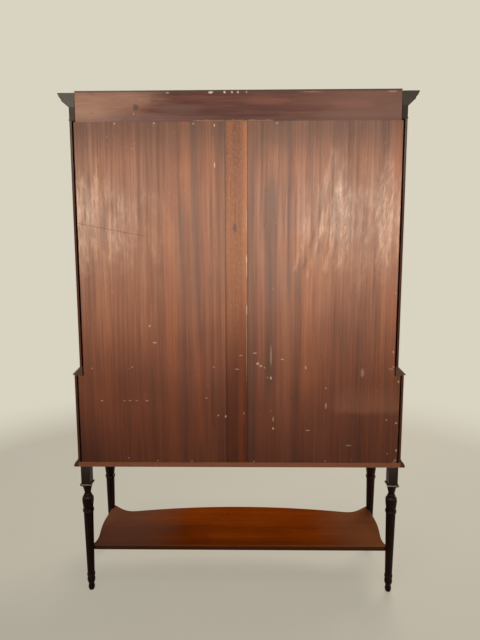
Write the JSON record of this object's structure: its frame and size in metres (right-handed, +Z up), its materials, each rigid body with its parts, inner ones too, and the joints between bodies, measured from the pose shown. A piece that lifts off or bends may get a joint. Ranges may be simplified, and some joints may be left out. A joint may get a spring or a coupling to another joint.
{
  "type": "bow front display cabinet",
  "caption": "Free-standing bow front display cabinet: glazed doors over a cupboard, on turned legs with an undertier, with a flat back.",
  "frame": {"origin": "on the floor, under the middle of the cabinet's outer box", "axes": "+Z up, -Y out of the bowed front, +Y out of the flat back, +X to the right as seen from the front"},
  "size_m": [1.222, 0.426, 1.8356],
  "materials": {
    "panel_wood": "old rubbed mahogany, satin",
    "muntin_wood": "amber mahogany, satin",
    "rail_wood": "worn mahogany, dull",
    "case_wood": "mahogany, worn at the edges",
    "base_wood": "lighter mahogany, satin",
    "front_wood": "polished red mahogany",
    "shelf_wood": "mahogany, satin",
    "leg_wood": "dark glossy polish",
    "undertier_wood": "glossy orange polish",
    "glass": "clear",
    "brass": "aged",
    "steel": "aged"
  },
  "bodies": {
    "case": {"back_muntin": "muntin_wood", "back_panel_left": "panel_wood", "back_panel_right": "panel_wood", "back_top_rail": "rail_wood", "base_moulding_front": "base_wood", "base_moulding_left": "base_wood", "base_moulding_right": "base_wood", "base_plank": "base_wood", "bottom_board": "base_wood", "corner_post_left": "front_wood", "corner_post_right": "front_wood", "cornice_front": "case_wood", "cornice_left": "case_wood", "cornice_right": "case_wood", "leg_back_left": "leg_wood", "leg_back_right": "leg_wood", "leg_front_left": "leg_wood", "leg_front_right": "leg_wood", "lower_side_left": "front_wood", "lower_side_right": "front_wood", "rear_stile_left": "case_wood", "rear_stile_right": "case_wood", "shelf_lower": "shelf_wood", "shelf_upper": "shelf_wood", "side_bottom_rail_left": "front_wood", "side_bottom_rail_right": "front_wood", "side_glass_left": "glass", "side_glass_right": "glass", "side_top_rail_left": "front_wood", "side_top_rail_right": "front_wood", "top_board": "shelf_wood", "undertier": "undertier_wood", "waist_board": "case_wood", "waist_moulding_front": "case_wood", "waist_moulding_left": "case_wood", "waist_moulding_right": "case_wood"},
    "upper_left_door": {"upper_left_door_bottom_rail": "front_wood", "upper_left_door_glass": "glass", "upper_left_door_hinge_stile": "front_wood", "upper_left_door_meeting_stile": "front_wood", "upper_left_door_top_rail": "front_wood"},
    "upper_right_door": {"upper_escutcheon": "brass", "upper_lock_case": "brass", "upper_right_door_bottom_rail": "front_wood", "upper_right_door_glass": "glass", "upper_right_door_hinge_stile": "front_wood", "upper_right_door_meeting_stile": "front_wood", "upper_right_door_top_rail": "front_wood"},
    "lower_left_door": {"lower_left_door_bead": "front_wood", "lower_left_door_panel": "front_wood"},
    "lower_right_door": {"lower_escutcheon": "brass", "lower_lock_case": "brass", "lower_right_door_bead": "front_wood", "lower_right_door_panel": "front_wood"},
    "upper_bolt": {"upper_lock_bolt": "steel"},
    "upper_key": {"upper_key": "steel"},
    "lower_bolt": {"lower_lock_bolt": "steel"},
    "lower_key": {"lower_key": "steel"}
  },
  "joints": [
    {"name": "upper_left_door_hinge", "type": "hinge", "parent": "case", "child": "upper_left_door", "pos_m": [-0.53295, -0.12489, 1.29995], "axis": [0, 0, -1], "range_deg": [0, 110]},
    {"name": "upper_right_door_hinge", "type": "hinge", "parent": "case", "child": "upper_right_door", "pos_m": [0.53295, -0.12489, 1.29995], "axis": [0, 0, 1], "range_deg": [0, 110]},
    {"name": "lower_left_door_hinge", "type": "hinge", "parent": "case", "child": "lower_left_door", "pos_m": [-0.56995, -0.13838, 0.6963], "axis": [0, 0, -1], "range_deg": [0, 110]},
    {"name": "lower_right_door_hinge", "type": "hinge", "parent": "case", "child": "lower_right_door", "pos_m": [0.56995, -0.13838, 0.6963], "axis": [0, 0, 1], "range_deg": [0, 110]},
    {"name": "upper_key_turn", "type": "hinge", "parent": "upper_right_door", "child": "upper_key", "pos_m": [0.017, -0.17594, 1.29995], "axis": [0, -1, 0], "range_deg": [0, 180]},
    {"name": "upper_bolt_throw", "type": "slide", "parent": "upper_right_door", "child": "upper_bolt", "axis": [-1, 0, 0], "range_m": [0, 0.007]},
    {"name": "lower_key_turn", "type": "hinge", "parent": "lower_right_door", "child": "lower_key", "pos_m": [0.017, -0.19695, 0.6963], "axis": [0, -1, 0], "range_deg": [0, 180]},
    {"name": "lower_bolt_throw", "type": "slide", "parent": "lower_right_door", "child": "lower_bolt", "axis": [-1, 0, 0], "range_m": [0, 0.007]}
  ],
  "couplings": [
    {"joint": "upper_key_turn", "follows": "upper_bolt_throw", "rad_per_m": 448.8},
    {"joint": "lower_key_turn", "follows": "lower_bolt_throw", "rad_per_m": 448.8}
  ]
}
